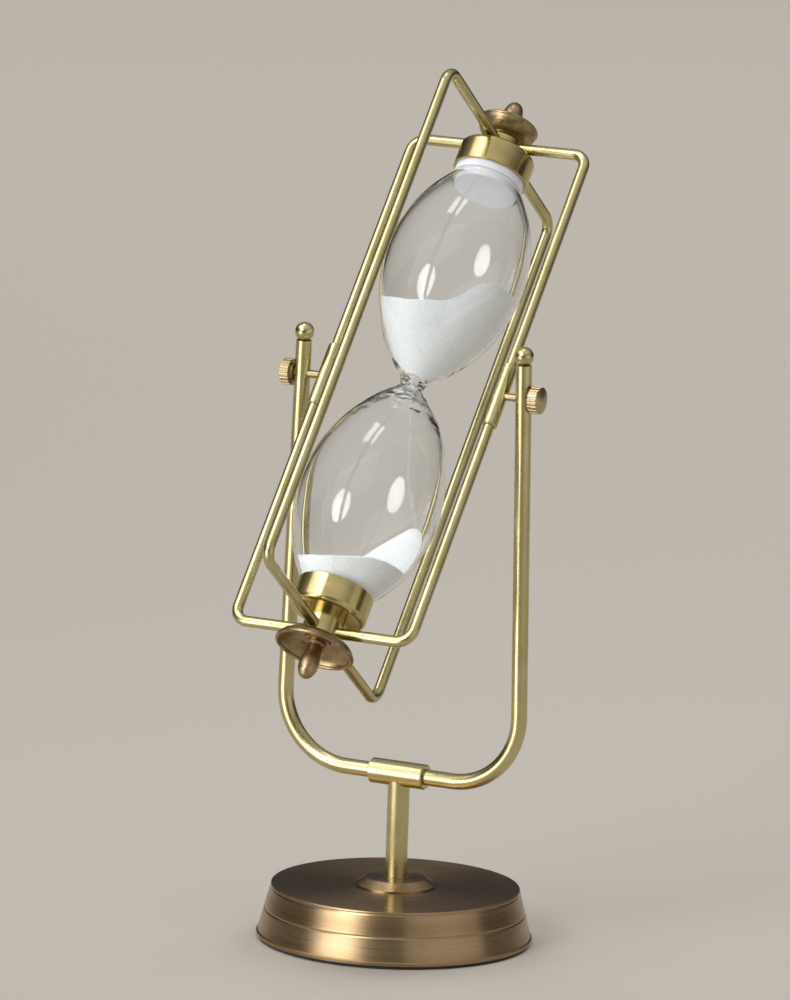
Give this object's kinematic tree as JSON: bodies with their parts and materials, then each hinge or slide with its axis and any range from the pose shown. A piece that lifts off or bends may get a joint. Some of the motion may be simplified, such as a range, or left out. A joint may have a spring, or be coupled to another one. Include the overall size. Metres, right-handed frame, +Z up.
{
  "type": "tilting hourglass",
  "caption": "Sand timer on a yoke stand: a double glass bulb in crossed wire loops spins between the yoke's arms on knobbed pins.",
  "frame": {"origin": "centre of the base's underside, on the table", "axes": "+Z up along the post, +X along the pivot axis to the right, -Y the front"},
  "size_m": [0.1066, 0.208, 0.3154],
  "materials": {
    "satin_brass": "satin brushed brass wire and tube",
    "base_brass": "circular brushed bronze toned brass",
    "turned_brass": "turned antique brass",
    "steel": "zinc plated",
    "iron": "rough cast",
    "glass": "clear blown glass",
    "sand": "fine white sand",
    "stopper": "white moulded stopper",
    "rubber": "soft ring",
    "felt": "dark felt"
  },
  "bodies": {
    "stand": {"base_shell": "base_brass", "base_weight": "iron", "base_pad": "felt", "base_collar": "base_brass", "post_tube": "satin_brass", "tie_rod": "steel", "tie_nut": "steel", "tie_washer": "steel", "tee_sleeve": "satin_brass", "grub_screw": "steel", "yoke_rod": "satin_brass", "ball_cap_left": "satin_brass", "ball_cap_right": "satin_brass", "saddle_washer_left": "turned_brass", "saddle_washer_right": "turned_brass"},
    "frame": {"ferrule_left": "satin_brass", "ferrule_right": "satin_brass", "pivot_wire_top_left": "satin_brass", "pivot_wire_top_right": "satin_brass", "pivot_wire_bottom_left": "satin_brass", "pivot_wire_bottom_right": "satin_brass", "cross_wire_front": "satin_brass", "cross_wire_back": "satin_brass", "hub_top": "satin_brass", "hub_bottom": "satin_brass", "cup_top": "satin_brass", "cup_bottom": "satin_brass", "gasket_top": "rubber", "gasket_bottom": "rubber", "plug_top": "stopper", "plug_bottom": "stopper", "stud_top": "steel", "stud_bottom": "steel", "dish_top": "turned_brass", "dish_bottom": "turned_brass", "finial_top": "turned_brass", "finial_bottom": "turned_brass", "glass_bulbs": "glass", "sand_upper": "sand", "sand_lower": "sand"},
    "thumbscrew_left": {"thumb_knob_left": "turned_brass", "pivot_pin_left": "turned_brass"},
    "thumbscrew_right": {"thumb_knob_right": "turned_brass", "pivot_pin_right": "turned_brass"}
  },
  "joints": [
    {"name": "frame_spin", "type": "hinge", "parent": "stand", "child": "frame", "pos_m": [0, 0, 0.203], "axis": [1, 0, 0], "continuous": true},
    {"name": "knob_turn_left", "type": "hinge", "parent": "stand", "child": "thumbscrew_left", "pos_m": [-0.051, 0, 0.203], "axis": [-1, 0, 0], "range_deg": [-360, 720]},
    {"name": "knob_turn_right", "type": "hinge", "parent": "stand", "child": "thumbscrew_right", "pos_m": [0.051, 0, 0.203], "axis": [1, 0, 0], "range_deg": [-360, 720]}
  ]
}
